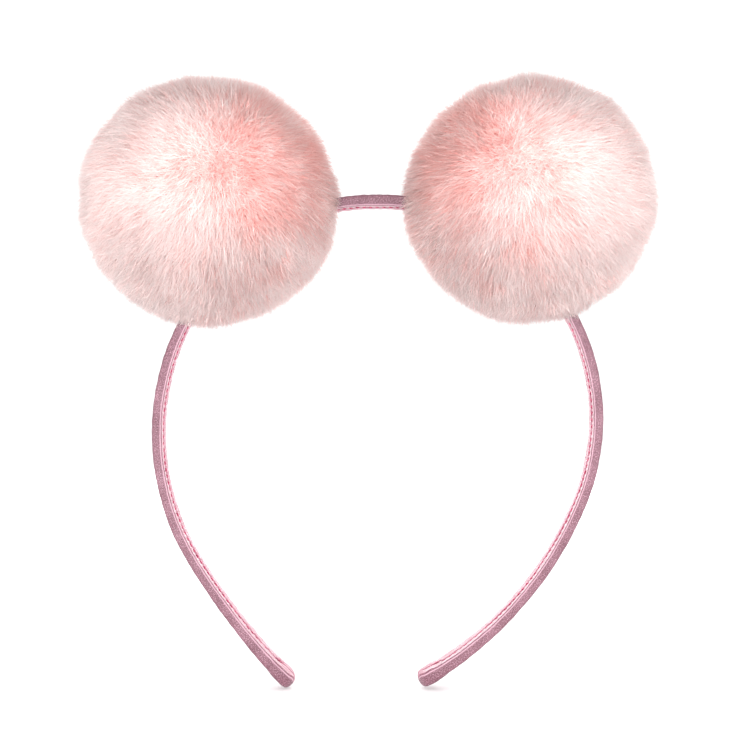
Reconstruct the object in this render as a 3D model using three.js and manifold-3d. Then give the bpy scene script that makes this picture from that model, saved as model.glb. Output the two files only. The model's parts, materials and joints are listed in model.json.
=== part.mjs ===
import * as THREE from 'three';
import { mergeVertices } from 'three/addons/utils/BufferGeometryUtils.js';
import Module from 'manifold-3d';

// A hair band with two plush pom-pom ears, in millimetres. +Z is up, +X is right and +Y is
// away from someone who faces the band. The origin is under the crown, where the band's
// inner face meets the head. Lengths along the band are measured from the crown's middle,
// negative to the left.

const fit = 0.3; // gap between pieces that touch

const strip = { width: 9.6, thickness: 1.3, corner: 0.4 }; // the springy plastic core
const satin = { wall: 0.4, seamGap: 1.2, edgeRadius: 1.1 }; // the sewn fabric tube round it
const thread = 0.5; // diameter of the sewing thread

// The outer face, from the crown's middle down each side: a flat, then three arcs, each a
// radius and the angle that it turns through.
const crownFlat = 2;
const outline = {
  left: [[63.65, 46.65], [77.18, 75.59], [221.26, 12.53]],
  right: [[66.8, 47.56], [69.21, 64.6], [112.79, 39.45]],
};
const crownReach = 54; // from the crown's middle to each leg's joint
const jointGap = 0.8; // between the crown's end and the leg's
const stationStep = 5; // longest step between cross-sections of the band

// The strip stops short of the tip by enough for its square corners to stay in the fold.
const tip = { length: 9, wall: 0.7, edge: 0.5, stripInset: 4.3, tackLength: 3 };

// Each pom-pom stands on the crown's arc. lift is from the band's outer face to the middle
// of the ball.
const seat = {
  left: { angle: 38.67, lift: 15.9 },
  right: { angle: 35.06, lift: 13.1 },
};
const ball = { radius: 39.5, stuffing: 17, backing: 2.6 };
const play = { rock: 12, twist: 15, spareTwist: 2 }; // degrees
const pad = { radius: 4.5, thickness: 1.3 };
const neckClearance = 1.2; // between the pad and the gathered neck above it
const shankRadius = 0.9;
const button = { radius: 5, thickness: 1.8 };
const gather = { radius: 4.4, recessDepth: 1.5 };
const bindingLength = 2.6;

const coverWidth = strip.width + 2 * (fit + satin.wall);
const coverThickness = strip.thickness + 2 * (fit + satin.wall);

const wasm = await Module();
wasm.setup();

const material = (color, roughness) =>
  new THREE.MeshStandardMaterial({ color, roughness, metalness: 0 });
const finish = {
  strip: material('#e9e4dc', 0.45),
  satin: material('#c9859b', 0.4),
  seam: material('#c9426f', 0.7),
  fur: material('#f9d5d0', 0.95),
  stuffing: material('#f6f3ee', 0.95),
  elastic: material('#e9b3bd', 0.8),
  button: material('#f0ece4', 0.35),
  felt: material('#d98aa2', 0.95),
};

// ---- solids ----

function toSolid(geometry) {
  const bare = geometry.clone();
  bare.deleteAttribute('normal');
  bare.deleteAttribute('uv');
  const merged = mergeVertices(bare);
  const corners = Array.from(merged.index.array);
  const whole = corners.filter((_, i) => {
    const first = i - (i % 3);
    const [a, b, c] = corners.slice(first, first + 3);
    return a !== b && b !== c && c !== a;
  });
  return new wasm.Manifold(new wasm.Mesh({
    numProp: 3,
    vertProperties: new Float32Array(merged.attributes.position.array),
    triVerts: new Uint32Array(whole),
  }));
}

function toGeometry(solid) {
  const mesh = solid.getMesh();
  const geometry = new THREE.BufferGeometry();
  geometry.setAttribute('position', new THREE.BufferAttribute(mesh.vertProperties, 3));
  geometry.setIndex(new THREE.BufferAttribute(mesh.triVerts, 1));
  geometry.computeVertexNormals();
  return geometry;
}

const cut = (geometry, ...tools) =>
  toGeometry(tools.reduce((solid, tool) => solid.subtract(toSolid(tool)), toSolid(geometry)));

function part(name, geometry, look) {
  const mesh = new THREE.Mesh(geometry, look);
  mesh.name = name;
  return mesh;
}

// A turned shape about +Z from [radius, height] points, which run anticlockwise round its
// half section.
function turned(points, sides) {
  const geometry = new THREE.LatheGeometry(points.map(([r, z]) => new THREE.Vector2(r, z)), sides);
  return geometry.rotateX(Math.PI / 2);
}

// A turned ring of rectangular section, closed on itself.
function turnedRing(inner, outer, low, high, sides) {
  return turned([[inner, high], [inner, low], [outer, low], [outer, high], [inner, high]], sides);
}

// Points [radius, height] of a circle about (0, middle), from one elevation to another.
function arcPoints(radius, middle, from, to, steps) {
  return Array.from({ length: steps + 1 }, (_, i) => {
    const elevation = from + ((to - from) * i) / steps;
    return [radius * Math.cos(elevation), middle + radius * Math.sin(elevation)];
  });
}

// ---- the band's path ----

// Where the middle of the band's thickness is, at a length along it, with its outward normal.
function bandAt(length) {
  const side = length < 0 ? 'left' : 'right';
  const sign = length < 0 ? -1 : 1;
  let rest = Math.abs(length);
  let x = Math.min(rest, crownFlat);
  let z = coverThickness / 2;
  let heading = 0;
  rest -= x;
  for (const [outerRadius, degrees] of outline[side]) {
    const radius = outerRadius - coverThickness / 2;
    const turn = Math.min(rest / radius, THREE.MathUtils.degToRad(degrees));
    x += radius * (Math.sin(heading + turn) - Math.sin(heading));
    z += radius * (Math.cos(heading + turn) - Math.cos(heading));
    heading += turn;
    rest -= turn * radius;
  }
  return {
    point: new THREE.Vector3(sign * x, 0, z),
    normal: new THREE.Vector3(sign * Math.sin(heading), 0, Math.cos(heading)),
    tangent: new THREE.Vector3(Math.cos(heading), 0, -sign * Math.sin(heading)),
    tilt: sign * heading,
  };
}

function legLength(side) {
  return outline[side].reduce(
    (sum, [radius, degrees]) =>
      sum + (radius - coverThickness / 2) * THREE.MathUtils.degToRad(degrees), crownFlat);
}

// The lengths at which a run of the band has its cross-sections. The crown's flat keeps its
// two ends, so that it stays one true plane.
function stations(from, to) {
  const marks = [from, ...[-crownFlat, crownFlat].filter((u) => u > from && u < to), to];
  return marks.slice(1).reduce((list, end) => {
    const start = list[list.length - 1];
    const steps = Math.ceil((end - start) / stationStep);
    for (let i = 1; i <= steps; i += 1) list.push(start + ((end - start) * i) / steps);
    return list;
  }, [from]);
}

class BandCurve extends THREE.Curve {
  constructor(from, to) {
    super();
    this.stops = stations(from, to).map(bandAt);
  }

  getPoint(t) {
    return this.stops[Math.round(t * (this.stops.length - 1))].point.clone();
  }

  getSpacedPoints() {
    return this.stops.map((stop) => stop.point.clone());
  }

  computeFrenetFrames() {
    return {
      tangents: this.stops.map((stop) => stop.tangent),
      normals: this.stops.map((stop) => stop.normal),
      binormals: this.stops.map((stop) => stop.tangent.clone().cross(stop.normal)),
    };
  }
}

// Carries a cross-section along the band. In the section, x is out from the head and y is
// across the band.
function swept(section, from, to) {
  const curve = new BandCurve(from, to);
  return new THREE.ExtrudeGeometry(section, {
    extrudePath: curve, steps: curve.stops.length - 1, curveSegments: 1, bevelEnabled: false,
  });
}

function roundedPoints(halfX, halfY, radius, cornerSteps) {
  const corners = [[1, 1, 0], [-1, 1, 1], [-1, -1, 2], [1, -1, 3]];
  return corners.flatMap(([sx, sy, quarter]) =>
    Array.from({ length: cornerSteps + 1 }, (_, i) => {
      const angle = (quarter + i / cornerSteps) * (Math.PI / 2);
      return new THREE.Vector2(
        sx * (halfX - radius) + radius * Math.cos(angle),
        sy * (halfY - radius) + radius * Math.sin(angle));
    }));
}

const stripSection = new THREE.Shape(
  roundedPoints(strip.thickness / 2, strip.width / 2, strip.corner, 1));

// The fabric tube is one sheet whose two edges meet along the middle of the inner face, so
// its section is a ring that is open there.
function coverSection() {
  const halfX = coverThickness / 2;
  const halfY = coverWidth / 2;
  const lip = satin.seamGap / 2;
  const outer = roundedPoints(halfX, halfY, satin.edgeRadius, 2);
  const inner = roundedPoints(halfX - satin.wall, halfY - satin.wall, strip.corner, 1).reverse();
  const around = (points, first) => [...points.slice(first), ...points.slice(0, first)];
  return new THREE.Shape([
    new THREE.Vector2(-halfX, -lip),
    ...around(outer, outer.length / 2),
    new THREE.Vector2(-halfX, lip),
    new THREE.Vector2(-halfX + satin.wall, lip),
    ...around(inner, inner.length / 2),
    new THREE.Vector2(-halfX + satin.wall, -lip),
  ]);
}

// The seam's thread fills the gap between the two edges of the fabric.
function seamSection() {
  const low = -coverThickness / 2;
  const half = satin.seamGap / 2 - fit;
  return new THREE.Shape([
    new THREE.Vector2(low, -half), new THREE.Vector2(low + satin.wall, -half),
    new THREE.Vector2(low + satin.wall, half), new THREE.Vector2(low, half),
  ]);
}

function bandRun(name, from, to, stripFrom, stripTo) {
  return [
    part(`${name}_strip`, swept(stripSection, stripFrom, stripTo), finish.strip),
    part(`${name}_cover`, swept(coverSection(), from, to), finish.satin),
    part(`${name}_seam_thread`, swept(seamSection(), from, to), finish.seam),
  ];
}

function crown() {
  const end = crownReach - jointGap / 2;
  return bandRun('crown', -end, end, -end, end);
}

// A leg, from its joint under the pom-pom down to its tip, with the end of the fabric tube
// folded over the strip and tacked.
function leg(side) {
  const start = crownReach + jointGap / 2;
  const end = legLength(side);
  const coverEnd = end - tip.length - fit;
  const stripEnd = end - tip.stripInset;
  const run = side === 'left'
    ? bandRun('left_leg', -coverEnd, -start, -stripEnd, -start)
    : bandRun('right_leg', start, coverEnd, start, stripEnd);
  return [...run, tipEnd(side, end)];
}

function tipEnd(side, end) {
  const sign = side === 'left' ? -1 : 1;
  const middle = bandAt(sign * (end - tip.length / 2));
  const halfWidth = strip.width / 2 + fit + tip.wall;
  const thickness = strip.thickness + 2 * (fit + tip.wall);
  const half = tip.length / 2;

  const plan = new THREE.Shape();
  plan.moveTo(-half + tip.edge, -halfWidth + tip.edge);
  plan.lineTo(half - halfWidth, -halfWidth + tip.edge);
  plan.absarc(half - halfWidth, 0, halfWidth - tip.edge, -Math.PI / 2, Math.PI / 2, false);
  plan.lineTo(-half + tip.edge, halfWidth - tip.edge);
  const fold = new THREE.ExtrudeGeometry(plan, {
    depth: thickness - 2 * tip.edge, curveSegments: 10,
    bevelThickness: tip.edge, bevelSize: tip.edge, bevelSegments: 2,
  });
  fold.translate(0, 0, tip.edge - thickness / 2);

  const pocketEnd = half - tip.stripInset + fit;
  const pocketWidth = strip.width + 2 * fit;
  const pocket = new THREE.BoxGeometry(tip.length, pocketWidth, strip.thickness + 2 * fit);
  pocket.translate(pocketEnd - tip.length / 2, 0, 0);
  const tack = new THREE.CylinderGeometry(thread / 2, thread / 2, tip.tackLength, 8);
  tack.translate(0, 0, -thickness / 2 - fit - thread / 2);

  if (side === 'left') {
    fold.rotateZ(Math.PI);
    pocket.rotateZ(Math.PI);
  }
  const group = new THREE.Group();
  group.position.copy(middle.point);
  group.rotation.y = middle.tilt;
  group.add(part(`${side}_tip_fold`, cut(fold, pocket), finish.satin));
  group.add(part(`${side}_tip_tack`, tack, finish.seam));
  return group;
}

// ---- pom-poms ----

// Heights above the band's outer face, up through the seat.
const bindingTop = fit + thread;
const padTop = bindingTop + fit + pad.thickness;
const neckLow = padTop + neckClearance;
const stuffingLow = neckLow + ball.backing + fit;

// What the fur leaves free below the neck: the band runs through it, and it is wide enough
// for the pom-pom to rock and twist. It widens away from the neck by the twist.
function bandChannel() {
  const depth = padTop + coverThickness + bindingTop;
  const rock = THREE.MathUtils.degToRad(play.rock);
  const flare = Math.tan(THREE.MathUtils.degToRad(play.twist + play.spareTwist));
  const narrow = coverWidth / 2 + bindingTop + fit + depth * Math.tan(rock);
  const reach = ball.radius + fit;
  const wide = narrow + reach * flare;
  const plan = new THREE.Shape([
    new THREE.Vector2(-reach, -wide), new THREE.Vector2(0, -narrow),
    new THREE.Vector2(reach, -wide), new THREE.Vector2(reach, wide),
    new THREE.Vector2(0, narrow), new THREE.Vector2(-reach, wide),
  ]);
  const channel = new THREE.ExtrudeGeometry(plan, {
    depth: ball.radius + neckLow, bevelEnabled: false,
  });
  return channel.translate(0, 0, -ball.radius);
}

function furBall(lift) {
  const neck = shankRadius + fit;
  const cavity = ball.stuffing + fit;
  const floor = stuffingLow - fit;
  const outerStart = -Math.acos(neck / ball.radius);
  const cavityStart = Math.asin((floor - lift) / cavity);
  const ballGeometry = turned([
    ...arcPoints(cavity, lift, Math.PI / 2, cavityStart, 8),
    [neck, floor],
    ...arcPoints(ball.radius, lift, outerStart, Math.PI / 2, 16),
  ], 32);
  const recess = turnedRing(
    gather.radius - thread / 2 - fit, gather.radius + thread / 2 + fit,
    neckLow - fit, neckLow + gather.recessDepth, 20);
  return cut(ballGeometry, bandChannel(), recess);
}

function stuffingBall(lift) {
  const hole = shankRadius + fit;
  const pocketRadius = button.radius + fit;
  const pocketLow = lift - button.thickness / 2 - fit;
  const pocketHigh = lift + button.thickness / 2 + fit;
  const start = Math.asin((stuffingLow - lift) / ball.stuffing);
  return turned([
    [0, pocketHigh], [pocketRadius, pocketHigh], [pocketRadius, pocketLow],
    [hole, pocketLow], [hole, stuffingLow],
    ...arcPoints(ball.stuffing, lift, start, Math.PI / 2, 10),
  ], 24);
}

// The thread that ties the pom-pom on: a flat loop of turns right round the band.
function bindingLoop() {
  const inner = { x: coverWidth / 2 + fit, z: coverThickness / 2 + fit };
  const loop = new THREE.Shape(
    roundedPoints(inner.z + thread, inner.x + thread, satin.edgeRadius, 2));
  loop.holes.push(new THREE.Path(
    roundedPoints(inner.z, inner.x, satin.edgeRadius - thread, 2)));
  const geometry = new THREE.ExtrudeGeometry(loop, { depth: bindingLength, bevelEnabled: false });
  geometry.translate(0, 0, -bindingLength / 2);
  geometry.rotateY(-Math.PI / 2);
  return geometry.translate(0, 0, -coverThickness / 2);
}

function pomPom(side) {
  const { angle, lift } = seat[side];
  const sign = side === 'left' ? -1 : 1;
  const midRadius = outline[side][0][0] - coverThickness / 2;
  const place = bandAt(sign * (crownFlat + midRadius * THREE.MathUtils.degToRad(angle)));
  const group = new THREE.Group();
  group.position.copy(place.point).addScaledVector(place.normal, coverThickness / 2);
  group.rotation.y = place.tilt;

  const padLow = bindingTop + fit;
  const padHole = shankRadius + fit + pad.thickness * Math.tan(
    THREE.MathUtils.degToRad(play.rock));
  const shankTop = lift - button.thickness / 2 - fit;
  const shank = new THREE.CylinderGeometry(shankRadius, shankRadius, shankTop - padLow, 12);
  shank.rotateX(Math.PI / 2).translate(0, 0, (shankTop + padLow) / 2);
  const disc = new THREE.CylinderGeometry(button.radius, button.radius, button.thickness, 24);
  disc.rotateX(Math.PI / 2).translate(0, 0, lift);
  const tie = new THREE.TorusGeometry(gather.radius, thread / 2, 8, 24);
  tie.translate(0, 0, neckLow + gather.recessDepth - fit - thread / 2);

  group.add(
    part(`${side}_pom_binding`, bindingLoop(), finish.seam),
    part(`${side}_pom_seat_pad`, turnedRing(padHole, pad.radius, padLow, padTop, 24), finish.felt),
    part(`${side}_pom_shank`, shank, finish.elastic),
    part(`${side}_pom_anchor_button`, disc, finish.button),
    part(`${side}_pom_gather_thread`, tie, finish.seam),
    part(`${side}_pom_stuffing`, stuffingBall(lift), finish.stuffing),
    part(`${side}_pom_fur`, furBall(lift), finish.fur));
  return group;
}

const headband = new THREE.Group();
headband.add(...crown());
for (const side of ['left', 'right']) headband.add(...leg(side), pomPom(side));
headband.updateMatrixWorld(true);

export default headband;
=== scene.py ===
import json
import math

import bpy
import numpy as np
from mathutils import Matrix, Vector

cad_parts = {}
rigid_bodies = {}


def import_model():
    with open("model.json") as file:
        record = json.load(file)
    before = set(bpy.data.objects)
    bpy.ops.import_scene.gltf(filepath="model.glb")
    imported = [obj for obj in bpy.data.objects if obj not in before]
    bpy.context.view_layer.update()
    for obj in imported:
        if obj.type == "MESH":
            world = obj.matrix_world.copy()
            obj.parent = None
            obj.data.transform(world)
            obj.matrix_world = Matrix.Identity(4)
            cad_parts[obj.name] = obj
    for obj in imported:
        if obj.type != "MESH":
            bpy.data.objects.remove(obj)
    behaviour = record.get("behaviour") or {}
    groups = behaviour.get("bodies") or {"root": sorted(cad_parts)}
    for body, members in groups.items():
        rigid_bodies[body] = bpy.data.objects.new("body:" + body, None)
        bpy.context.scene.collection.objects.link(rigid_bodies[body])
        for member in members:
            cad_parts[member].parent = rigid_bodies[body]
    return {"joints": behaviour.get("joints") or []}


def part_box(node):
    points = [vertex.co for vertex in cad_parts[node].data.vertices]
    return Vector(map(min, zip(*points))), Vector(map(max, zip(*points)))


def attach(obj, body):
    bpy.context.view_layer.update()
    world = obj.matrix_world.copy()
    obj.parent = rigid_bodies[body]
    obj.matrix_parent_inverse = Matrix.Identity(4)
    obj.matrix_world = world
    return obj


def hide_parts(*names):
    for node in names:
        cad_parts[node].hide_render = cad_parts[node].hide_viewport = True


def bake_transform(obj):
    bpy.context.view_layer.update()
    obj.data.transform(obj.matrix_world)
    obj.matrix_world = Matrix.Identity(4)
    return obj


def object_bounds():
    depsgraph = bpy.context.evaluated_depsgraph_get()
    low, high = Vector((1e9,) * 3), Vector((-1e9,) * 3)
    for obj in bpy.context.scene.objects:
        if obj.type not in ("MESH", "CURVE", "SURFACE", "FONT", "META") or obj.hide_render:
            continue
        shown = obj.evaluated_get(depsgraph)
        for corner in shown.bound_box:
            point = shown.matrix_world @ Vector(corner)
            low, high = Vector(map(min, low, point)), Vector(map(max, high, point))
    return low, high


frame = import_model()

MM = 0.001
cad_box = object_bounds()


# ---- Camera, light and floor ----
# A hair band stood on its two tips on a white table, looked at level with its middle, in the
# even light of soft lamps low at both sides, in front and behind.

CAMERA = {"place": (-0.76, -434.0, -50.8), "lens": 66.9}
SOFTBOXES = {
    "lamp_low_left": {"place": (-400, -470, -100), "size": (420, 80), "watts": 2.0},
    "lamp_low_right": {"place": (420, -440, -100), "size": (420, 80), "watts": 1.9},
    "lamp_front": {"place": (60, -900, 60), "size": (700, 700), "watts": 5.4},
    "lamp_behind": {"place": (0, 900, 200), "size": (800, 600), "watts": 6.0},
}
FLOOR = {"gap": 0.4, "half": 4000}
ROOM_STRENGTH = 1.2
AIM_HEIGHT = -40
PAPER_WHITE = "#FCFCFC"


def linear(hex_colour):
    """sRGB hex to linear: each channel is divided by 12.92 below 0.04045, and otherwise is
    ((c + 0.055) / 1.055) to the power 2.4."""
    channels = [int(hex_colour[i:i + 2], 16) / 255 for i in (1, 3, 5)]
    curve = [c / 12.92 if c <= 0.04045 else ((c + 0.055) / 1.055) ** 2.4 for c in channels]
    return (*curve, 1.0)


def node(tree, kind, inputs=None, **settings):
    """Adds one shader node. settings are its own properties; inputs are values for its
    sockets, or the sockets that feed them."""
    made = tree.nodes.new("ShaderNode" + kind)
    for key, value in settings.items():
        setattr(made, key, value)
    for key, value in (inputs or {}).items():
        if isinstance(value, bpy.types.NodeSocket):
            tree.links.new(value, made.inputs[key])
        else:
            made.inputs[key].default_value = value
    return made


def new_material(name):
    made = bpy.data.materials.new(name)
    made.use_nodes = True
    made.node_tree.nodes.clear()
    return made, made.node_tree


def surface(tree, inputs):
    """Ends a material in one Principled shader with these inputs."""
    shader = node(tree, "BsdfPrincipled", inputs)
    node(tree, "OutputMaterial", {"Surface": shader.outputs["BSDF"]})


camera = bpy.data.objects.new("camera", bpy.data.cameras.new("camera"))
camera.data.lens = CAMERA["lens"]
camera.data.clip_start = 0.01
camera.location = Vector(CAMERA["place"]) * MM
camera.rotation_euler = (math.pi / 2, 0, 0)
bpy.context.collection.objects.link(camera)
bpy.context.scene.camera = camera

for lamp_name, lamp in SOFTBOXES.items():
    light = bpy.data.lights.new(lamp_name, "AREA")
    light.shape = "RECTANGLE"
    light.size, light.size_y = (side * MM for side in lamp["size"])
    light.energy = lamp["watts"]
    softbox = bpy.data.objects.new(lamp_name, light)
    softbox.location = Vector(lamp["place"]) * MM
    aim = Vector((0, 0, AIM_HEIGHT * MM)) - softbox.location
    softbox.rotation_euler = aim.to_track_quat("-Z", "Y").to_euler()
    bpy.context.collection.objects.link(softbox)

room = bpy.data.worlds.new("white_room")
room.use_nodes = True
room.node_tree.nodes["Background"].inputs["Color"].default_value = (1, 1, 1, 1)
room.node_tree.nodes["Background"].inputs["Strength"].default_value = ROOM_STRENGTH
bpy.context.scene.world = room
bpy.context.scene.view_settings.view_transform = "Standard"

floor_level = cad_box[0][2] - FLOOR["gap"] * MM
half = FLOOR["half"] * MM
floor_mesh = bpy.data.meshes.new("table_top")
floor_mesh.from_pydata(
    [(-half, -half, floor_level), (half, -half, floor_level),
     (half, half, floor_level), (-half, half, floor_level)], [], [(0, 1, 2, 3)])
table_top = bpy.data.objects.new("table_top", floor_mesh)
bpy.context.collection.objects.link(table_top)
paper, paper_tree = new_material("matte_white_paper")
surface(paper_tree, {"Base Color": linear(PAPER_WHITE), "Roughness": 0.9})
floor_mesh.materials.append(paper)


# ---- Satin cover ----
# A tube of polyester satin, cut on the bias, turned and drawn over the plastic strip, with
# its two long edges folded in and sewn together down the middle of the inner face. It is
# drawn tight over the edges, and puckers where each stitch pulls it in.

CROWN_FLAT = 2.0
ARCS = {
    -1: ((63.65, 46.65), (77.18, 75.59), (221.26, 12.53)),
    1: ((66.8, 47.56), (69.21, 64.6), (112.79, 39.45)),
}
COVER = {"width": 11.0, "thickness": 2.7, "puff": 0.16, "crown_puff": 0.5, "puff_reach": 26,
         "edge": 0.85, "row": 0.42, "around": 92}
CROWN_END = 45.0
HINGE = 54.0
BLEND_HALF = 7.0
TIP = {"length": 9.0, "gap": 0.3, "flare": 0.22, "flare_from": 34.0}
STITCH = {"pitch": 2.1, "length": 1.45, "thread": 0.55}
SEAM = {"depth": 0.55, "half": 0.75, "pucker": 0.26, "pucker_reach": 3.2}
CRUMPLE = {"fine": 0.035, "broad": 0.05}
# inner is painted bounced light for the satin's inner face; edge is a painted highlight along its
# inner corners.
SATIN = {"dark": "#452230", "mid": "#6C414E", "pale": "#B48B9A", "inner": "#B4687E",
         "edge": "#D9B0BE", "grain_mm": 0.42, "round_mm": 27.4}
# How far round from the outer face's middle the inner face's painted bounced light starts and is
# full, and where its tight corner lies (mm), with the half-width and full core of the painted
# highlight line along that corner.
INNER_FACE_PAINTED_LIGHT = {"from": 8.6, "full": 9.6, "corner": 8.3, "line_half": 0.32, "line_core": 0.05}


def band_at(length):
    """Where the middle of the band's thickness is at each length (mm) from the crown's
    middle, negative to the left, and its outward normal. The path is a flat and then three
    arcs: on each, the heading grows by length over radius, and the point moves by radius
    times the change in the heading's sine and cosine."""
    length = np.asarray(length, float)
    points, normals = np.zeros((*length.shape, 3)), np.zeros((*length.shape, 3))
    for sign in (-1, 1):
        mine = (length < 0) == (sign < 0)
        rest = np.abs(length[mine])
        x = np.minimum(rest, CROWN_FLAT)
        z = np.full_like(x, COVER["thickness"] / 2)
        heading = np.zeros_like(x)
        rest = rest - x
        for outer, degrees in ARCS[sign]:
            radius = outer - COVER["thickness"] / 2
            turn = np.minimum(rest / radius, math.radians(degrees))
            x += radius * (np.sin(heading + turn) - np.sin(heading))
            z += radius * (np.cos(heading + turn) - np.cos(heading))
            heading += turn
            rest -= turn * radius
        points[mine] = np.stack([sign * x, 0 * x, z], 1)
        normals[mine] = np.stack([sign * np.sin(heading), 0 * x, np.cos(heading)], 1)
    return points, normals


def leg_length(sign):
    thin = COVER["thickness"] / 2
    return CROWN_FLAT + sum((r - thin) * math.radians(a) for r, a in ARCS[sign])


def flow(seed, *fields, waves=9, least=1.0, most=4.0):
    """A smooth random value from -1 to 1: the mean of sine waves whose directions,
    frequencies and phases are drawn at random."""
    rng = np.random.default_rng(seed)
    total = 0
    for _ in range(waves):
        pull = rng.normal(size=len(fields))
        pull *= rng.uniform(least, most) / np.linalg.norm(pull)
        total = total + np.sin(sum(p * f for p, f in zip(pull, fields)) + rng.uniform(0, 6.283))
    return total / math.sqrt(waves)


def grid_piece(name, points, uv=None):
    """Joins rows of points into quads, round each row and from row to row, and shuts both
    ends with a fan to the row's middle. If the solid comes out with a volume below zero, its
    faces are turned over."""
    rows, cols = points.shape[:2]
    flat = points.reshape(-1, 3)
    ends = np.array([points[0].mean(0), points[-1].mean(0)])
    vertices = np.concatenate([flat, ends])
    i, j = np.meshgrid(np.arange(rows - 1), np.arange(cols), indexing="ij")
    k = (j + 1) % cols
    quads = np.stack([i * cols + j, i * cols + k, (i + 1) * cols + k, (i + 1) * cols + j], -1)
    quads = quads.reshape(-1, 4)
    j = np.arange(cols)
    k = (j + 1) % cols
    first, last = rows * cols, rows * cols + 1
    base = (rows - 1) * cols
    fans = np.concatenate([
        np.stack([np.full(cols, first), k, j], 1),
        np.stack([np.full(cols, last), base + j, base + k], 1)])
    corners = np.concatenate([quads[:, [0, 1, 2]], quads[:, [0, 2, 3]], fans])
    a, b, c = (vertices[corners[:, n]] for n in range(3))
    if np.einsum("ij,ij->i", a, np.cross(b, c)).sum() < 0:
        quads, fans = quads[:, ::-1], fans[:, ::-1]
    loops = np.concatenate([quads.ravel(), fans.ravel()])
    sizes = np.concatenate([np.full(len(quads), 4), np.full(len(fans), 3)])
    uv_points = None
    if uv is not None:
        uv_points = np.concatenate([uv.reshape(-1, 2), uv[0].mean(0)[None], uv[-1].mean(0)[None]])
    return new_piece(name, vertices, loops, sizes, uv_points)


def new_piece(name, vertices, loops, sizes, uv_points=None):
    """Puts whole arrays of vertices (mm), face corners and face sizes into a new object."""
    mesh = bpy.data.meshes.new(name)
    mesh.vertices.add(len(vertices))
    mesh.vertices.foreach_set("co", (vertices * MM).astype(np.float32).ravel())
    mesh.loops.add(len(loops))
    mesh.loops.foreach_set("vertex_index", loops.astype(np.int32))
    mesh.polygons.add(len(sizes))
    starts = np.concatenate([[0], np.cumsum(sizes)[:-1]])
    mesh.polygons.foreach_set("loop_start", starts.astype(np.int32))
    mesh.polygons.foreach_set("use_smooth", np.full(len(sizes), True))
    mesh.update(calc_edges=True)
    if uv_points is not None:
        layer = mesh.uv_layers.new(name="cloth")
        layer.data.foreach_set("uv", uv_points[loops].astype(np.float32).ravel())
    piece = bpy.data.objects.new(name, mesh)
    bpy.context.collection.objects.link(piece)
    return piece


def section_round(count, half_out, half_across, radius):
    """Points round a rounded rectangle, evenly spaced by length, from the middle of the
    inner face: out is the first column and across the second. Each point is on a straight
    run or on the corner arc that its length falls on."""
    straight = [half_across - radius, 2 * (half_out - radius), 2 * (half_across - radius),
                2 * (half_out - radius), half_across - radius]
    arc = radius * math.pi / 2
    total = sum(straight) + 4 * arc
    rest = np.arange(count) / count * total
    place = np.stack([np.full(count, -half_out), np.zeros(count)], 1)
    angle = np.zeros(count)
    for side, run in enumerate(straight):
        step = np.clip(rest, 0, run)
        place += step[:, None] * np.stack([np.sin(angle), np.cos(angle)], 1)
        rest = rest - step
        if side < 4:
            bend = np.clip(rest, 0, arc) / radius
            place[:, 0] += radius * (np.cos(angle) - np.cos(angle + bend))
            place[:, 1] += radius * (np.sin(angle + bend) - np.sin(angle))
            angle = angle + bend
            rest = rest - bend * radius
    return place


def carried(lengths, out, across):
    """Places section offsets, out from the head and across the band, along the path."""
    points, normals = band_at(lengths)
    place = points[:, None, :] + normals[:, None, :] * out[..., None]
    place[..., 1] += across
    return place


def cover_piece(name, start, end, seed):
    """The rounded section carried along the path and puffed out: more on the crown's outer
    side by a bell curve, and more over a leg's last stretch as its square. On the inner face
    it sinks to the seam as a bell curve across the band, deeper at each stitch by a cosine
    along the band, and the whole skin is stirred by two flows, one fine and one broad."""
    rows = int(abs(end - start) / COVER["row"])
    lengths = np.linspace(start, end, rows)
    section = section_round(
        COVER["around"], COVER["thickness"] / 2 + COVER["puff"], COVER["width"] / 2,
        COVER["edge"])
    last = leg_length(-1 if start + end < 0 else 1) - TIP["length"]
    flare = np.clip(1 - (last - np.abs(lengths)) / TIP["flare_from"], 0, 1) ** 2 * TIP["flare"]
    out = section[:, 0] * (1 + flare[:, None])
    bunched = COVER["crown_puff"] * np.exp(-(lengths / COVER["puff_reach"]) ** 2)
    out += bunched[:, None] * np.clip(section[:, 0] / (COVER["thickness"] / 2), 0, 1)
    across = np.tile(section[:, 1], (rows, 1))
    u = np.broadcast_to(lengths[:, None], out.shape)
    inner = np.clip(-out / (COVER["thickness"] / 2), 0, 1)
    valley = np.exp(-(across / SEAM["half"]) ** 2)
    pull = np.exp(-(across / SEAM["pucker_reach"]) ** 2)
    beat = 0.5 + 0.5 * np.cos(2 * math.pi * u / STITCH["pitch"])
    side = np.sign(across) * 0.6
    drag = 0.5 + 0.5 * np.cos(2 * math.pi * (u / STITCH["pitch"] * 2 + side))
    sink = SEAM["depth"] * valley + SEAM["pucker"] * pull * (0.6 * beat + 0.4 * drag)
    fine = flow(seed, u * 1.1, across * 0.5, out, least=1.4, most=3.4)
    broad = flow(seed + 1, u * 0.3, across * 0.8, out, least=0.6, most=1.8)
    skin = CRUMPLE["fine"] * fine + CRUMPLE["broad"] * broad
    swell = 1 + skin / (COVER["thickness"] / 2)
    out = out * swell + inner * sink
    across = across * (1 + skin / COVER["width"])
    around = np.broadcast_to(np.linspace(0, 1, COVER["around"]), out.shape)
    uv = np.stack([u, around * SATIN["round_mm"]], -1) * MM
    return grid_piece(name, carried(lengths, out, across), uv)


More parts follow.
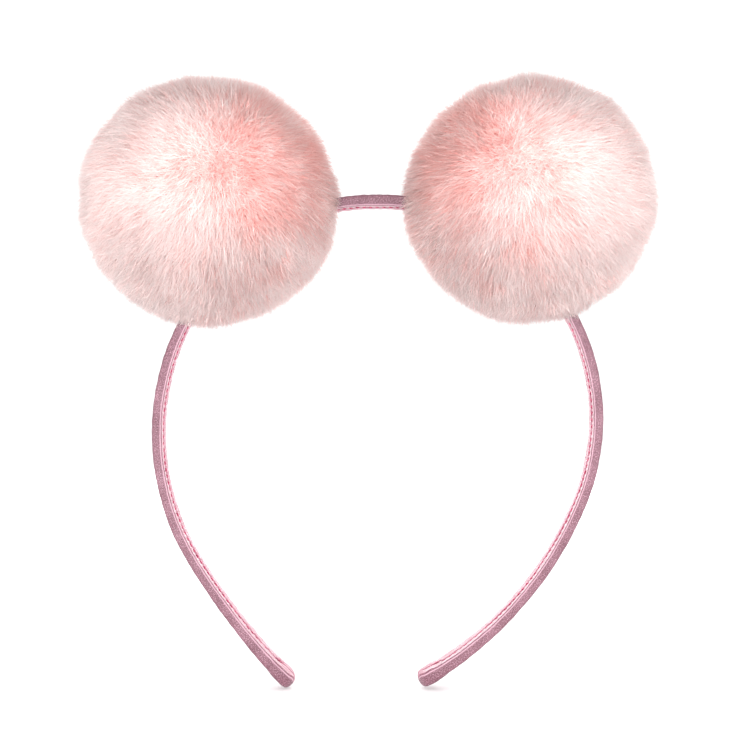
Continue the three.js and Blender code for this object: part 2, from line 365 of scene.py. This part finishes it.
# Satin is a warp-faced weave: long floating threads give it a silky gloss that is broken by
# the threads' slight unevenness, so its colour and its shine are mottled at thread scale.
satin, tree = new_material("polyester_satin")
cloth_map = node(tree, "UVMap", uv_map="cloth")
stretch = node(tree, "Mapping", {"Vector": cloth_map.outputs["UV"], "Scale": (1, 1.6, 1)})
grain = node(tree, "TexNoise", {
    "Vector": stretch.outputs["Vector"], "Scale": 1 / (SATIN["grain_mm"] * MM),
    "Detail": 3.0, "Roughness": 0.65})
patches = node(tree, "TexNoise", {
    "Vector": cloth_map.outputs["UV"], "Scale": 1 / (6.0 * MM), "Detail": 2.0})
mixed = node(tree, "Math", {0: grain.outputs["Fac"], 1: 0.88}, operation="MULTIPLY")
tone = node(tree, "Math", {
    0: patches.outputs["Fac"], 1: 0.16, 2: mixed.outputs["Value"]}, operation="MULTIPLY_ADD")
colour = node(tree, "ValToRGB", {"Fac": tone.outputs["Value"]})
ramp = colour.color_ramp
ramp.elements[0].position, ramp.elements[1].position = 0.36, 0.72
ramp.elements[0].color, ramp.elements[1].color = linear(SATIN["dark"]), linear(SATIN["pale"])
ramp.elements.new(0.53).color = linear(SATIN["mid"])
threads = node(tree, "Mapping", {
    "Vector": cloth_map.outputs["UV"], "Rotation": (0, 0, math.radians(45))})
floats = node(tree, "TexWave", {
    "Vector": threads.outputs["Vector"], "Scale": 1 / (2.4 * MM), "Distortion": 1.2,
    "Detail": 1.0}, wave_profile="SIN")
relief = node(tree, "Math", {
    0: floats.outputs["Fac"], 1: 0.3, 2: grain.outputs["Fac"]}, operation="MULTIPLY_ADD")
bump = node(tree, "Bump", {
    "Height": relief.outputs["Value"], "Distance": 0.22 * MM, "Strength": 0.7})
shine = node(tree, "MapRange", {
    "Value": grain.outputs["Fac"], "To Min": 0.24, "To Max": 0.46})
# The inner face, where the two folded edges lie double, is painted with bounced light: tinted a
# brighter, more saturated pink than the rest of the satin.
halves = node(tree, "SeparateXYZ", {"Vector": cloth_map.outputs["UV"]})
turn = node(tree, "Math", {
    0: halves.outputs["Y"], 1: SATIN["round_mm"] / 2 * MM}, operation="SUBTRACT")
inward = node(tree, "Math", {0: turn.outputs["Value"]}, operation="ABSOLUTE")
painted_bounce_share = node(tree, "MapRange", {
    "Value": inward.outputs["Value"], "From Min": INNER_FACE_PAINTED_LIGHT["from"] * MM,
    "From Max": INNER_FACE_PAINTED_LIGHT["full"] * MM, "To Max": 0.7})
with_painted_bounce = node(tree, "Mix", {
    "Factor": painted_bounce_share.outputs["Result"], "A": colour.outputs["Color"],
    "B": linear(SATIN["inner"])}, data_type="RGBA")
# Along the two inner corners it is stretched tight, and a painted highlight, a fine pale line in
# the edge colour, stands for the shine of its floats there.
beside = node(tree, "Math", {
    0: inward.outputs["Value"], 1: INNER_FACE_PAINTED_LIGHT["corner"] * MM}, operation="SUBTRACT")
off_line = node(tree, "Math", {0: beside.outputs["Value"]}, operation="ABSOLUTE")
painted_highlight_share = node(tree, "MapRange", {
    "Value": off_line.outputs["Value"], "From Min": INNER_FACE_PAINTED_LIGHT["line_core"] * MM,
    "From Max": INNER_FACE_PAINTED_LIGHT["line_half"] * MM, "To Min": 0.6, "To Max": 0.0})
# Painted highlight: the pale edge colour mixed in along each inner corner.
with_painted_highlight = node(tree, "Mix", {
    "Factor": painted_highlight_share.outputs["Result"], "A": with_painted_bounce.outputs["Result"],
    "B": linear(SATIN["edge"])}, data_type="RGBA")
surface(tree, {
    "Base Color": with_painted_highlight.outputs["Result"], "Roughness": shine.outputs["Result"],
    "Normal": bump.outputs["Normal"], "IOR": 1.53, "Specular IOR Level": 0.45,
    "Sheen Weight": 0.05, "Sheen Roughness": 0.35, "Sheen Tint": linear("#FBE3EA")})


SIDES = {-1: "left", 1: "right"}


def across_joint(piece, sign):
    """Bakes a leg's piece's placing into its mesh. Where the stretch over the hidden joint starts
    and ends is worked out, but nothing uses it.
    """
    ends, _ = band_at(np.array([sign * (HINGE - BLEND_HALF), sign * (HINGE + BLEND_HALF)]))
    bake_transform(piece)


crown_cover = cover_piece("crown_satin_cover", -CROWN_END, CROWN_END, 11)
crown_cover.data.materials.append(satin)
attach(crown_cover, "crown")
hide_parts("crown_cover")
for sign, side in SIDES.items():
    cover_end = leg_length(sign) - TIP["length"] + 1.0
    piece = cover_piece(f"{side}_leg_satin_cover", sign * CROWN_END, sign * cover_end, 20 + sign)
    piece.data.materials.append(satin)
    across_joint(piece, sign)
    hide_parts(f"{side}_leg_cover")


# ---- Plastic strip ----
# The spring of the band: one strip of moulded polypropylene, bent to the head's shape, with
# its edges rounded off. It is closed in by the satin from end to end.

STRIP = {"width": 9.6, "thickness": 1.3, "edge": 0.4, "inset": 4.3, "row": 3.0, "around": 24}

plastic, tree = new_material("moulded_polypropylene")
where = node(tree, "TexCoord")
flow_marks = node(tree, "TexNoise", {
    "Vector": where.outputs["Object"], "Scale": 1 / (2.0 * MM), "Detail": 2.0})
colour = node(tree, "ValToRGB", {"Fac": flow_marks.outputs["Fac"]})
colour.color_ramp.elements[0].color = linear("#E2DDD4")
colour.color_ramp.elements[1].color = linear("#EFEBE4")
surface(tree, {"Base Color": colour.outputs["Color"], "Roughness": 0.42, "IOR": 1.49})


def strip_piece(name, start, end):
    """A rounded rectangle carried along the path."""
    lengths = np.linspace(start, end, int(abs(end - start) / STRIP["row"]))
    section = section_round(
        STRIP["around"], STRIP["thickness"] / 2, STRIP["width"] / 2, STRIP["edge"])
    rows = len(lengths)
    out, across = (np.tile(section[:, n], (rows, 1)) for n in range(2))
    piece = grid_piece(name, carried(lengths, out, across))
    piece.data.materials.append(plastic)
    return piece


crown_strip = strip_piece("crown_plastic_strip", -CROWN_END, CROWN_END)
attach(crown_strip, "crown")
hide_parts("crown_strip")
for sign, side in SIDES.items():
    strip_end = leg_length(sign) - STRIP["inset"]
    piece = strip_piece(f"{side}_leg_plastic_strip", sign * CROWN_END, sign * strip_end)
    across_joint(piece, sign)
    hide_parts(f"{side}_leg_strip")


# ---- Seam stitches ----
# The ladder stitch that closes the tube: a twisted polyester thread, darker than the satin,
# which shows on the inner face as short slanting bars and dives into the seam between them.

THREAD = {"dark": "#8E1F43", "pale": "#C8446F", "ply_mm": 0.5}
BAR = {"rows": 7, "around": 8, "slant": 0.16, "proud": 0.10, "sunk": 0.72}

sewing, tree = new_material("twisted_polyester_thread")
where = node(tree, "TexCoord")
ply = node(tree, "TexWave", {
    "Vector": where.outputs["Object"], "Scale": 1 / (THREAD["ply_mm"] * MM * 3.14),
    "Distortion": 0.6}, bands_direction="DIAGONAL")
colour = node(tree, "ValToRGB", {"Fac": ply.outputs["Fac"]})
colour.color_ramp.elements[0].color = linear(THREAD["dark"])
colour.color_ramp.elements[1].color = linear(THREAD["pale"])
bump = node(tree, "Bump", {
    "Height": ply.outputs["Fac"], "Distance": 0.06 * MM, "Strength": 0.6})
surface(tree, {
    "Base Color": colour.outputs["Color"], "Roughness": 0.55,
    "Normal": bump.outputs["Normal"], "Sheen Weight": 0.3})


def tube_rows(paths, radii, around):
    """Closed tubes about many paths at once: round each path point, a ring whose radius
    follows a given taper, with a first and last ring so small that the end is shut."""
    ahead = np.gradient(paths, axis=1)
    ahead /= np.linalg.norm(ahead, axis=-1, keepdims=True)
    side = np.cross(ahead, (0.0, 1.0, 0.0))
    side /= np.linalg.norm(side, axis=-1, keepdims=True)
    other = np.cross(ahead, side)
    angle = np.arange(around) / around * 2 * math.pi
    ring = (np.cos(angle)[:, None] * side[..., None, :]
            + np.sin(angle)[:, None] * other[..., None, :])
    return paths[..., None, :] + ring * radii[..., None, None]


def tubes_piece(name, paths, radii, around):
    """All the tubes as one object: quads between rings and one flat face at each end."""
    rings = tube_rows(paths, radii, around)
    count, rows = rings.shape[:2]
    first = (np.arange(count) * rows * around)[:, None, None]
    i, j = np.meshgrid(np.arange(rows - 1), np.arange(around), indexing="ij")
    k = (j + 1) % around
    quad = np.stack([
        i * around + j, i * around + k, (i + 1) * around + k, (i + 1) * around + j], -1)
    quads = (first + quad.reshape(1, -1, 4)).reshape(-1, 4)
    j = np.arange(around)
    caps = np.concatenate([
        first[:, 0] + j[::-1], first[:, 0] + (rows - 1) * around + j])
    a, b, c = (rings.reshape(-1, 3)[quads[:, n]] for n in range(3))
    hub = np.repeat(paths[:, :-1].reshape(-1, 3), around, axis=0)
    if np.einsum("ij,ij->i", a - hub, np.cross(b - a, c - a)).sum() < 0:
        quads, caps = quads[:, ::-1], caps[:, ::-1]
    loops = np.concatenate([quads.ravel(), caps.ravel()])
    sizes = np.concatenate([np.full(len(quads), 4), np.full(len(caps), around)])
    return new_piece(name, rings.reshape(-1, 3), loops, sizes)


def stitches_piece(name, start, end):
    """One short bar for each stitch. Along a bar the thread stands proud as half a sine, and
    crosses the seam on a slant; its thickness tapers to nothing at both ends."""
    middles = np.arange(math.ceil(start / STITCH["pitch"]), math.floor(end / STITCH["pitch"]) + 1)
    middles = middles[:, None] * STITCH["pitch"]
    t = np.linspace(-1, 1, BAR["rows"])[None, :]
    lengths = middles + t * STITCH["length"] / 2
    depth = -COVER["thickness"] / 2 + SEAM["depth"] * BAR["sunk"]
    out = depth - (BAR["proud"] + STITCH["thread"] / 2) * np.cos(t * math.pi / 2) + 0 * middles
    across = t * BAR["slant"] + 0 * middles
    points, normals = band_at(lengths)
    paths = points + normals * out[..., None]
    paths[..., 1] += across
    radii = STITCH["thread"] / 2 * np.sqrt(1.02 - t ** 2) + 0 * middles
    piece = tubes_piece(name, paths, radii, BAR["around"])
    piece.data.materials.append(sewing)
    return piece


crown_stitches = stitches_piece("crown_seam_stitches", -CROWN_END, CROWN_END)
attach(crown_stitches, "crown")
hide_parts("crown_seam_thread")
for sign, side in SIDES.items():
    ends = sorted((sign * (CROWN_END + 1), sign * (leg_length(sign) - TIP["length"])))
    piece = stitches_piece(f"{side}_leg_seam_stitches", *ends)
    across_joint(piece, sign)
    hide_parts(f"{side}_leg_seam_thread")


# ---- Folded tips ----
# At each end the satin tube is folded back over the strip and caught down with a few
# stitches, so the last centimetre is fatter, rounder and creased down its middle.

FOLD = {"half_across": 5.75, "half_out": 2.25, "edge": 1.5, "round_end": 1.9, "rows": 110,
        "around": 96, "crease": 1.1, "crease_half": 0.5, "skin": 0.13, "round_mm": 26.4,
        "mouth": 0.84, "swell": 0.16, "swell_reach": 5.5}
TACK = {"bars": 5, "thread": 0.42, "spread": 0.9, "rows": 9, "around": 8, "first": 0.8,
        "pitch": 0.75, "slant": 0.3, "sunk": 0.45, "proud": 0.30}


def fold_piece(name, sign):
    """The cover's section, fatter, carried to the end of the leg. It swells from its mouth as
    a quarter sine. Its width and thickness shrink to a round end as a quarter circle, and a
    crease runs down the inner face and over the end."""
    end = leg_length(sign)
    start = end - TIP["length"] - TIP["gap"]
    t = np.sin(np.linspace(0, math.pi / 2, FOLD["rows"]))
    lengths = start + t * (end - start - 0.004)
    left = np.clip((end - lengths) / FOLD["half_across"], 0, 1)
    plan = np.sqrt(1 - (1 - left) ** 2)
    thin = np.clip((end - lengths) / FOLD["round_end"], 0, 1)
    body = np.sqrt(1 - (1 - thin) ** 2)
    opened = np.clip((lengths - start) / FOLD["swell_reach"], 0, 1)
    grow = FOLD["mouth"] + FOLD["swell"] * np.sin(opened * math.pi / 2)
    section = section_round(
        FOLD["around"], FOLD["half_out"], FOLD["half_across"], FOLD["edge"])
    out = section[None, :, 0] * (body * grow)[:, None]
    across = section[None, :, 1] * plan[:, None]
    u = np.broadcast_to((lengths - start)[:, None], out.shape)
    inner = np.clip(-section[None, :, 0] / FOLD["half_out"], 0, 1)
    crease = np.exp(-(across / FOLD["crease_half"]) ** 2) * inner * body[:, None]
    skin = FOLD["skin"] * flow(70 + sign, u * 0.9, across * 0.8, out, least=0.8, most=2.6)
    out = out * (1 + skin / FOLD["half_out"]) + crease * FOLD["crease"]
    round_mm = np.linspace(-0.5, 0.5, FOLD["around"]) * FOLD["round_mm"] + SATIN["round_mm"] / 2
    uv = np.stack([u, np.broadcast_to(round_mm, out.shape)], -1) * MM
    return grid_piece(name, carried(sign * lengths, out, across), uv)


for sign, side in SIDES.items():
    piece = fold_piece(f"{side}_tip_satin_fold", sign)
    piece.data.materials.append(satin)
    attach(piece, f"{side}_leg")
    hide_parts(f"{side}_tip_fold")
    t = np.linspace(-1, 1, TACK["rows"])[None, :]
    order = np.arange(TACK["bars"])[:, None]
    along = (leg_length(sign) - TIP["length"] + TACK["first"] + order * TACK["pitch"]
             + TACK["slant"] * t)
    place, normals = band_at(sign * along)
    out = TACK["sunk"] - FOLD["half_out"] - TACK["proud"] * np.cos(t * math.pi / 2)
    paths = place + normals * (out + 0 * order)[..., None]
    paths[..., 1] += t * TACK["spread"]
    radii = TACK["thread"] / 2 * np.sqrt(1.03 - t ** 2) + 0 * order
    tack = tubes_piece(f"{side}_tip_tack_stitches", paths, radii, TACK["around"])
    tack.data.materials.append(sewing)
    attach(tack, f"{side}_leg")
    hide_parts(f"{side}_tip_tack")


# ---- What ties each pom-pom on ----
# A felt pad keeps the ball off the band. A round elastic cord comes down from a plastic
# button inside the ball, through the gathered neck and the pad, to turns of thread round
# the band.

felt, tree = new_material("wool_felt")
where = node(tree, "TexCoord")
fibres = node(tree, "TexNoise", {
    "Vector": where.outputs["Object"], "Scale": 1 / (0.5 * MM), "Detail": 5.0,
    "Roughness": 0.7, "Distortion": 0.8})
colour = node(tree, "ValToRGB", {"Fac": fibres.outputs["Fac"]})
colour.color_ramp.elements[0].color = linear("#C9708C")
colour.color_ramp.elements[1].color = linear("#E8A5B8")
bump = node(tree, "Bump", {
    "Height": fibres.outputs["Fac"], "Distance": 0.25 * MM, "Strength": 0.7})
surface(tree, {
    "Base Color": colour.outputs["Color"], "Roughness": 0.95,
    "Normal": bump.outputs["Normal"], "Sheen Weight": 0.6})

elastic, tree = new_material("braided_elastic_cord")
where = node(tree, "TexCoord")
braid = node(tree, "TexWave", {
    "Vector": where.outputs["Object"], "Scale": 1 / (2.2 * MM), "Distortion": 1.5},
    bands_direction="DIAGONAL")
colour = node(tree, "ValToRGB", {"Fac": braid.outputs["Fac"]})
colour.color_ramp.elements[0].color = linear("#D98FA0")
colour.color_ramp.elements[1].color = linear("#F2C6CE")
bump = node(tree, "Bump", {
    "Height": braid.outputs["Fac"], "Distance": 0.12 * MM, "Strength": 0.7})
surface(tree, {
    "Base Color": colour.outputs["Color"], "Roughness": 0.75,
    "Normal": bump.outputs["Normal"]})

button_plastic, tree = new_material("polished_acrylic_button")
where = node(tree, "TexCoord")
swirl = node(tree, "TexNoise", {
    "Vector": where.outputs["Object"], "Scale": 1 / (3.0 * MM), "Detail": 2.0,
    "Distortion": 1.5})
colour = node(tree, "ValToRGB", {"Fac": swirl.outputs["Fac"]})
colour.color_ramp.elements[0].color = linear("#E6E1D6")
colour.color_ramp.elements[1].color = linear("#F8F5EE")
surface(tree, {"Base Color": colour.outputs["Color"], "Roughness": 0.18, "IOR": 1.49})

fill, tree = new_material("polyester_fibre_fill")
where = node(tree, "TexCoord")
wisps = node(tree, "TexNoise", {
    "Vector": where.outputs["Object"], "Scale": 1 / (1.5 * MM), "Detail": 6.0,
    "Roughness": 0.7, "Distortion": 1.0})
colour = node(tree, "ValToRGB", {"Fac": wisps.outputs["Fac"]})
colour.color_ramp.elements[0].color = linear("#E4E0D8")
colour.color_ramp.elements[1].color = linear("#FAF8F4")
bump = node(tree, "Bump", {
    "Height": wisps.outputs["Fac"], "Distance": 0.5 * MM, "Strength": 0.8})
surface(tree, {
    "Base Color": colour.outputs["Color"], "Roughness": 0.95,
    "Normal": bump.outputs["Normal"], "Sheen Weight": 0.4})

KEPT_FINISH = {
    "pom_seat_pad": felt, "pom_shank": elastic, "pom_anchor_button": button_plastic,
    "pom_stuffing": fill, "pom_gather_thread": sewing,
}
for side in SIDES.values():
    for kept, finish in KEPT_FINISH.items():
        mesh = bpy.data.objects[f"{side}_{kept}"].data
        mesh.materials.clear()
        mesh.materials.append(finish)


# ---- Binding threads ----
# The pom-pom's thread goes round and round the band under the pad: six turns side by
# side, pulled tight, each lying a little askew.

BINDING = {"turns": 6, "length": 2.5, "thread": 0.42, "gap": 0.12, "per_turn": 64}


def pom_frame(side):
    """The pom-pom's own axes: the joints' place just above the band, along the band, across
    it and outward, from the two joints, and a middle for the ball, from the button's box."""
    joints = {joint["name"]: joint for joint in frame["joints"]}
    rock, twist = joints[f"{side}_pom_rock"], joints[f"{side}_pom_twist"]
    along, outward = (np.array(joint["axis"], float) for joint in (rock, twist))
    low, high = (np.array(c, float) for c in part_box(f"{side}_pom_anchor_button"))
    return {
        "pivot": np.array(rock["pos_m"], float) / MM, "along": along, "outward": outward,
        "across": np.cross(outward, along), "middle": (low + high) / 2 / MM}


for side in SIDES.values():
    at = pom_frame(side)
    low, high = (np.array(c, float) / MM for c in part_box(f"{side}_pom_binding"))
    turns = BINDING["turns"]
    steps = turns * BINDING["per_turn"] + 1
    t = np.linspace(0, turns, steps)
    ring = section_round(
        BINDING["per_turn"], COVER["thickness"] / 2 + BINDING["gap"] + BINDING["thread"] / 2,
        COVER["width"] / 2 + BINDING["gap"] + BINDING["thread"] / 2, 1.5)
    ring = ring[np.arange(steps) % BINDING["per_turn"]]
    slide = (t / turns - 0.5) * (BINDING["length"] - BINDING["thread"])
    slide += 0.05 * flow(90, t * 6.283, least=0.5, most=1.5)
    path = ((low + high) / 2 + slide[:, None] * at["along"]
            + ring[:, :1] * at["outward"] + ring[:, 1:] * at["across"])
    radii = np.full((1, steps), BINDING["thread"] / 2)
    radii[0, [0, -1]] *= 0.2
    piece = tubes_piece(f"{side}_pom_binding_turns", path[None], radii, 6)
    piece.data.materials.append(sewing)
    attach(piece, "crown")
    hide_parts(f"{side}_pom_binding")


# ---- Pom-pom ----
# A disc of knitted faux fur gathered into a ball round fibre fill. Close to the cloth the
# pile is so dense that it reads as one soft mass; the rest is fine straight hair, combed
# away from a whorl on the front, so that each hair lies over the roots of the next.

SHAPE = {
    -1: {"radius": 40.1, "flatten": 0.955, "shift": (-0.7, 0.0, 0.3)},
    1: {"radius": 38.8, "flatten": 0.985, "shift": (-0.7, 0.0, 1.0)},
}
MASS = {"scale": 0.935, "rows": 230, "cols": 330, "fine": 0.22, "ceiling": 3.7}
LOBES = 0.65
PIVOT_HEIGHT = 2.4  # of the rock joint above the band's outer face
CHANNEL = {"wide": 7.8, "flare": 0.3}
PART = {"bend": 64.0, "above": 0.7, "wide": 6.0, "narrow": 0.4, "from": 4.0, "depth": 13.0,
        "spread": 0.12}
PILE = {"pieces": 3, "locks": 2450, "hairs": 20, "root": 0.905, "width": 0.30,
        "spread_root": 0.045, "spread_tip": 0.030, "scatter": 0.9, "short": 0.2,
        "lock_scatter": 0.4, "lock_shift": 0.012}
COMB = {"whorl": (0.23, -0.92, 0.30), "lean": 0.17, "back": 0.8, "front": 1.2,
        "stir": 0.032, "lock_stir": 0.022}
# Painted shade: the fur's tone runs deeper salmon towards the upper inner front of each ball and,
# by a slope, paler away from it.
FUR_PAINTED_SHADE = {"toward": (0.66, -0.68, 0.30), "reach": 0.42, "strength": 0.32, "slope": 0.14}
DYE = {"base": 0.42, "patches": 0.10, "by_lock": 0.07, "by_hair": 0.15}
FUR = {"root": "#F6BDB6", "underfur": "#FFE0DC", "middle": "#FFDDD9", "tip": "#FFF3F1",
       "deep": "#E8938B", "deep_tip": "#F8C2BC"}


def sphere_directions(count):
    """Directions spread evenly over a sphere: each next one a golden angle round and an equal
    step down."""
    index = np.arange(count) + 0.5
    height = 1 - 2 * index / count
    angle = index * math.pi * (3 - math.sqrt(5))
    ring = np.sqrt(1 - height ** 2)
    return np.stack([ring * np.cos(angle), ring * np.sin(angle), height], 1)


def ball_axes(at):
    """The ball's own axes as rows: along the band, across it and outward."""
    return np.stack([at["along"], at["across"], at["outward"]])


def to_ball(at, sign, direction):
    """A direction of the left ball in the row's axes, mirrored for the right one, as a unit
    vector in the ball's axes."""
    x, y, z = direction
    vector = ball_axes(at) @ np.array([-sign * x, y, z])
    return vector / np.linalg.norm(vector)


def ball_radius(at, sign, directions):
    """How far the pile reaches in each direction: the radius, less towards the top and the
    underside as the square of the direction's upright part, and lobes from a smooth flow."""
    form = SHAPE[sign]
    upright = directions @ (ball_axes(at) @ np.array([0.0, 0.0, 1.0]))
    lobes = flow(50, *(directions[..., n] * 4 for n in range(3))) * LOBES
    return form["radius"] * (1 - (1 - form["flatten"]) * upright ** 2) + lobes


def placed(at, sign, points):
    """From the ball's axes, measured from its middle, to the row's axes."""
    return at["middle"] + np.array(SHAPE[sign]["shift"]) + points @ ball_axes(at)


def band_drop(points):
    """How far the band has curved away below its middle: the radius, less the root of the
    radius squared less the square of the length along."""
    bend = PART["bend"]
    return bend - np.sqrt(bend ** 2 - points[..., 0] ** 2)


def parted(points, lift):
    """Moves what would pass through the band out to either side of it: no point below the
    band's outer face stays nearer to its middle line than the parting's width, which closes
    again under the band."""
    points = points.copy()
    across = np.abs(points[..., 1])
    height = points[..., 2] + lift + band_drop(points)
    closing = np.clip((-height - PART["from"]) / PART["depth"], 0, 1)
    width = PART["wide"] + (PART["narrow"] - PART["wide"]) * closing
    near = (height < PART["above"]) & (across < width)
    side = np.where(points[..., 1] < 0, -1.0, 1.0)
    points[..., 1] = np.where(near, side * (width + PART["spread"] * across), points[..., 1])
    return points


def mass_piece(side, at, sign, lift):
    """The ball's shape, drawn in a little and stirred by a fine flow, with the channel for
    the band lifted into it: below the channel's ceiling, every point nearer to the band's
    middle line than the channel's half-width, which grows with the distance from the
    middle, as the twist needs."""
    down = np.linspace(0.004, math.pi - 0.004, MASS["rows"])[:, None]
    turn = (np.arange(MASS["cols"]) / MASS["cols"] * 2 * math.pi)[None, :]
    d = np.stack([np.sin(down) * np.cos(turn), np.sin(down) * np.sin(turn),
                  np.cos(down) + 0 * turn], -1)
    fine = flow(5, *(d[..., n] * 60 for n in range(3)), waves=24, least=0.8, most=1.6)
    points = d * (ball_radius(at, sign, d) * MASS["scale"] + MASS["fine"] * fine)[..., None]
    width = CHANNEL["wide"] + CHANNEL["flare"] * np.abs(points[..., 0])
    inside = (points[..., 2] + lift < MASS["ceiling"]) & (np.abs(points[..., 1]) < width)
    points[..., 2] = np.where(inside, MASS["ceiling"] - lift, points[..., 2])
    return grid_piece(f"{side}_pom_underfur", placed(at, sign, points))


def combed(at, sign, directions, rng):
    """The way each lock lies: away from the whorl as the sine of the angle from it, and more
    on the whorl's half of the ball by the direction's share towards it; then stirred by a
    smooth flow and by chance."""
    whorl = to_ball(at, sign, COMB["whorl"])
    share = directions @ whorl
    weight = COMB["back"] + COMB["front"] * np.clip(share, 0, 1)
    away = (share[:, None] * directions - whorl) * weight[:, None]
    fields = [directions[:, n] * 5 for n in range(3)]
    stir = np.stack([flow(40 + n, *fields) for n in range(3)], 1) * COMB["stir"]
    return away * COMB["lean"] + stir + rng.normal(scale=COMB["lock_stir"], size=away.shape)


def pile_piece(name, at, sign, lift, layer):
    """Locks of hair. Each lock has a direction and lies as it is combed; its hairs start round
    it, farther apart at the root than at the tip, so that they draw together. A hair is a
    three-sided spike from a ring in the underfur to a point. The texture's x is the tone: a depth
    of dye that differs by chance from lock to lock and hair to hair, plus a painted shade that
    deepens it towards one side; its y runs from root to tip."""
    rng = np.random.default_rng(100 + layer)
    locks = sphere_directions(PILE["locks"] * PILE["pieces"])[layer::PILE["pieces"]]
    locks = locks + rng.normal(scale=PILE["lock_shift"], size=locks.shape)
    locks /= np.linalg.norm(locks, axis=1, keepdims=True)
    lean = combed(at, sign, locks, rng)
    count = (len(locks), PILE["hairs"])
    root = (locks - lean / 2)[:, None] + rng.normal(scale=PILE["spread_root"], size=(*count, 3))
    tip = (locks + lean / 2)[:, None] + rng.normal(scale=PILE["spread_tip"], size=(*count, 3))
    root, tip = root.reshape(-1, 3), tip.reshape(-1, 3)
    root /= np.linalg.norm(root, axis=1, keepdims=True)
    tip /= np.linalg.norm(tip, axis=1, keepdims=True)
    reach = ball_radius(at, sign, tip) - PILE["short"]
    reach += rng.normal(scale=PILE["scatter"], size=len(tip))
    reach += np.repeat(rng.normal(scale=PILE["lock_scatter"], size=count[0]), count[1])
    start = root * ball_radius(at, sign, root)[:, None] * PILE["root"]
    spine = parted(np.stack([start, tip * reach[:, None]], 1), lift)
    ahead = spine[:, 1] - spine[:, 0]
    ahead /= np.linalg.norm(ahead, axis=1, keepdims=True)
    side_way = np.cross(ahead, rng.normal(size=ahead.shape))
    side_way /= np.linalg.norm(side_way, axis=1, keepdims=True)
    other = np.cross(ahead, side_way)
    angle = np.arange(3) / 3 * 2 * math.pi
    ring = np.cos(angle)[:, None] * side_way[:, None] + np.sin(angle)[:, None] * other[:, None]
    thick = PILE["width"] / 2 * rng.uniform(0.7, 1.3, size=(len(ahead), 1, 1))
    vertices = np.concatenate([spine[:, None, 0] + ring * thick, spine[:, None, 1]], 1)
    hairs = len(vertices)
    faces = np.array([0, 1, 3, 1, 2, 3, 2, 0, 3, 0, 2, 1])
    loops = (np.arange(hairs)[:, None] * 4 + faces).ravel()
    # Painted shade: deeper salmon towards the upper inner front of each ball, paler away from it.
    facing_painted_shade = locks @ to_ball(at, sign, FUR_PAINTED_SHADE["toward"])
    painted_shade = np.exp(-((1 - facing_painted_shade) / FUR_PAINTED_SHADE["reach"] ** 2) ** 2)
    tone = DYE["base"] + FUR_PAINTED_SHADE["strength"] * painted_shade
    tone += FUR_PAINTED_SHADE["slope"] * facing_painted_shade
    tone += DYE["patches"] * flow(60, *(locks[:, n] * 6 for n in range(3)))
    tone += rng.normal(scale=DYE["by_lock"], size=len(locks))
    tone = np.repeat(tone, count[1]) + rng.normal(scale=DYE["by_hair"], size=hairs)
    along = np.array([0, 0, 0, 1.0])
    uv = np.stack([np.repeat(np.clip(tone, 0.02, 0.98)[:, None], 4, 1),
                   np.tile(along, (hairs, 1))], -1)
    return new_piece(name, placed(at, sign, vertices).reshape(-1, 3), loops,
                     np.full(4 * hairs, 3), uv.reshape(-1, 2))


# Acrylic pile: soft, dry and pale at the tips, where light passes through and is scattered, and a
# warm salmon deeper in. Each lock takes the dye a little differently, and on top of that a
# painted shade deepens the salmon towards the upper inner front of each ball.
acrylic, tree = new_material("acrylic_faux_fur_pile")
hair_map = node(tree, "UVMap", uv_map="cloth")
split = node(tree, "SeparateXYZ", {"Vector": hair_map.outputs["UV"]})
pale = node(tree, "ValToRGB", {"Fac": split.outputs["Y"]})
ramp = pale.color_ramp
ramp.elements[0].position, ramp.elements[1].position = 0.4, 0.95
ramp.elements[0].color, ramp.elements[1].color = linear(FUR["middle"]), linear(FUR["tip"])
deep = node(tree, "ValToRGB", {"Fac": split.outputs["Y"]})
ramp = deep.color_ramp
ramp.elements[0].position, ramp.elements[1].position = 0.4, 1.0
ramp.elements[0].color, ramp.elements[1].color = linear(FUR["deep"]), linear(FUR["deep_tip"])
choice = node(tree, "MapRange", {
    "Value": split.outputs["X"], "From Min": 0.45, "From Max": 0.95}, clamp=True)
blended = node(tree, "Mix", {
    "Factor": choice.outputs["Result"], "A": pale.outputs["Color"], "B": deep.outputs["Color"]},
    data_type="RGBA")
surface(tree, {
    "Base Color": blended.outputs["Result"], "Roughness": 0.7, "Specular IOR Level": 0.25,
    "Sheen Weight": 0.15, "Sheen Roughness": 0.4, "Sheen Tint": linear("#FFE0DC")})

underfur, tree = new_material("dense_acrylic_underfur")
where = node(tree, "TexCoord")
tufts = node(tree, "TexNoise", {
    "Vector": where.outputs["Object"], "Scale": 1 / (0.8 * MM), "Detail": 5.0,
    "Roughness": 0.7})
colour = node(tree, "ValToRGB", {"Fac": tufts.outputs["Fac"]})
colour.color_ramp.elements[0].position = 0.3
colour.color_ramp.elements[0].color = linear(FUR["root"])
colour.color_ramp.elements[1].color = linear(FUR["underfur"])
bump = node(tree, "Bump", {
    "Height": tufts.outputs["Fac"], "Distance": 0.8 * MM, "Strength": 0.9})
surface(tree, {
    "Base Color": colour.outputs["Color"], "Roughness": 0.95,
    "Normal": bump.outputs["Normal"], "Sheen Weight": 0.6})

for sign, side in SIDES.items():
    at = pom_frame(side)
    lift = float((at["middle"] - at["pivot"]) @ at["outward"]) + PIVOT_HEIGHT
    mass = mass_piece(side, at, sign, lift)
    mass.data.materials.append(underfur)
    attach(mass, f"{side}_pom")
    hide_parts(f"{side}_pom_fur")
    for layer in range(PILE["pieces"]):
        pile = pile_piece(f"{side}_pom_pile_{layer + 1}", at, sign, lift, layer)
        pile.data.materials.append(acrylic)
        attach(pile, f"{side}_pom")
